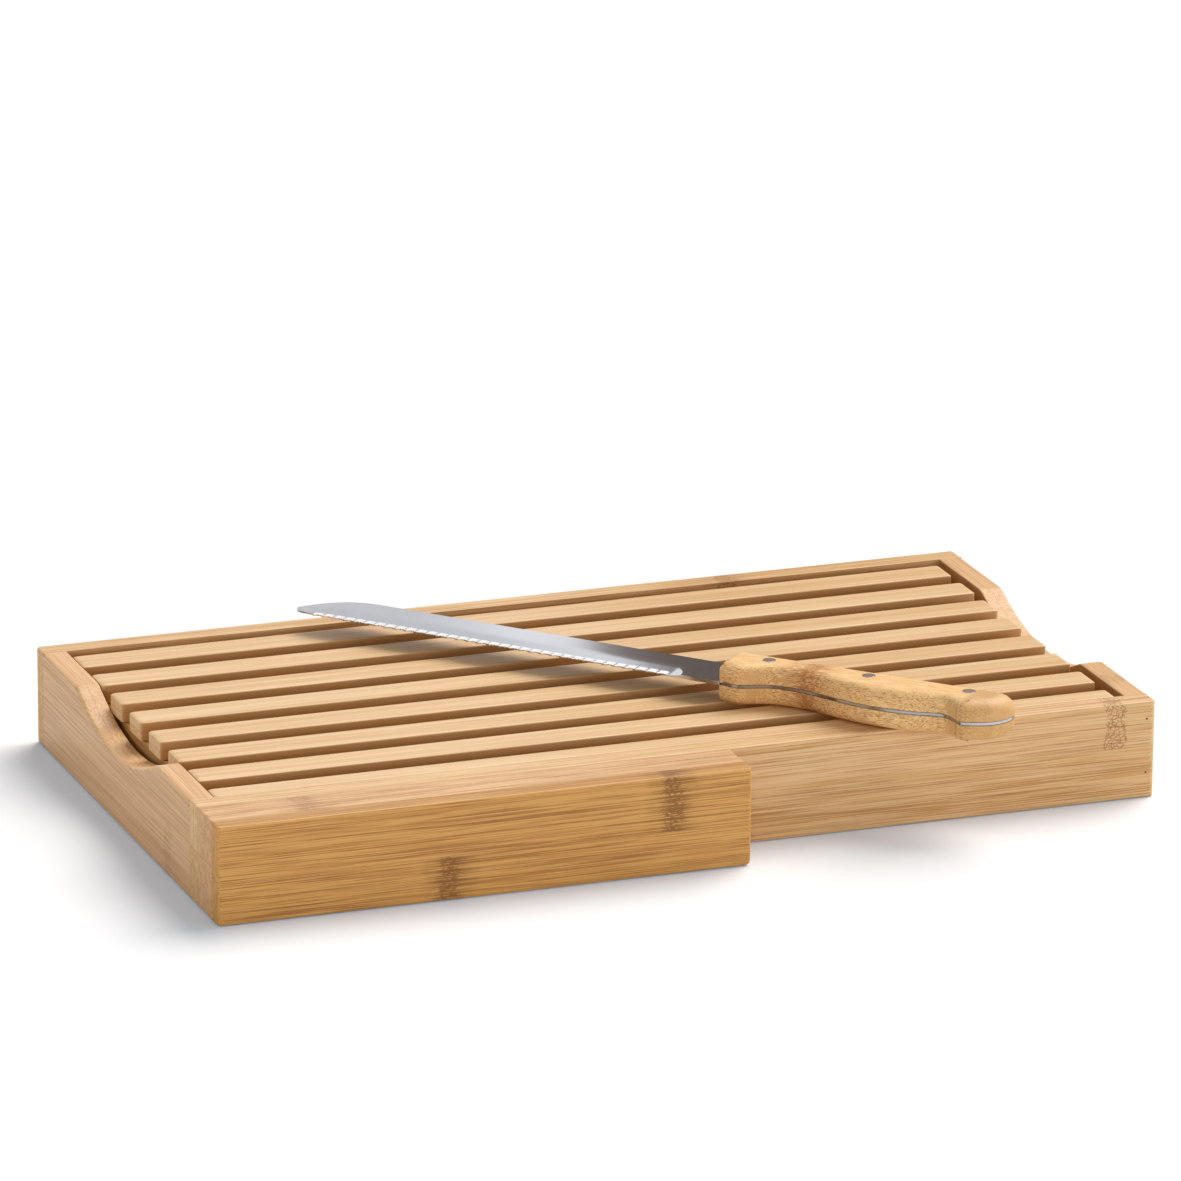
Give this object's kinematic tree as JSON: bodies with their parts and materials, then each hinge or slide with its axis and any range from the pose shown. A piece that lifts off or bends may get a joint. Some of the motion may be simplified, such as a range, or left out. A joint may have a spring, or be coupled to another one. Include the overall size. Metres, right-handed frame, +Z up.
{
  "type": "bread board with knife",
  "caption": "Bamboo bread board: crumb tray with a lift-out slatted grate, finger scoops, a knife block along one side and a serrated bread knife.",
  "frame": {"origin": "centre of the tray's underside, on the floor panel (knife block and knife not counted)", "axes": "+X along the tray's length, away from the knife block's closed end; +Y towards the back, away from the knife block; +Z up"},
  "size_m": [0.4, 0.242, 0.0573],
  "materials": {
    "bamboo_board": "oiled bamboo, side-pressed laminations, satin",
    "bamboo_slat": "oiled bamboo, pale, satin",
    "bamboo_handle": "sanded and oiled bamboo, warm",
    "blade_steel": "fine satin grind along the blade, ground scallops",
    "pin_steel": "dull dark steel"
  },
  "bodies": {
    "tray": {"front_wall": "bamboo_board", "back_wall": "bamboo_board", "left_panel": "bamboo_board", "right_panel": "bamboo_board", "floor_panel": "bamboo_slat", "front_ledge": "bamboo_slat", "back_ledge": "bamboo_slat", "brad_front_left_low": "pin_steel", "brad_front_left_high": "pin_steel", "brad_front_right_low": "pin_steel", "brad_front_right_high": "pin_steel", "brad_back_left_low": "pin_steel", "brad_back_left_high": "pin_steel", "brad_back_right_low": "pin_steel", "brad_back_right_high": "pin_steel", "block_cheek": "bamboo_board", "block_body": "bamboo_board"},
    "grate": {"front_slat": "bamboo_slat", "slat_1": "bamboo_slat", "slat_2": "bamboo_slat", "slat_3": "bamboo_slat", "slat_4": "bamboo_slat", "slat_5": "bamboo_slat", "slat_6": "bamboo_slat", "slat_7": "bamboo_slat", "crossbar_1": "bamboo_slat", "crossbar_2": "bamboo_slat", "crossbar_3": "bamboo_slat"},
    "knife": {"blade": "blade_steel", "upper_scale": "bamboo_handle", "lower_scale": "bamboo_handle", "rivet_front": "pin_steel", "rivet_middle": "pin_steel", "rivet_butt": "pin_steel"}
  },
  "joints": [
    {"name": "grate_lift", "type": "slide", "parent": "tray", "child": "grate", "axis": [0, 0, 1], "range_m": [0, 0.06]},
    {"name": "knife_lift", "type": "slide", "parent": "grate", "child": "knife", "axis": [0, 0, 1], "range_m": [0, 0.12]}
  ]
}
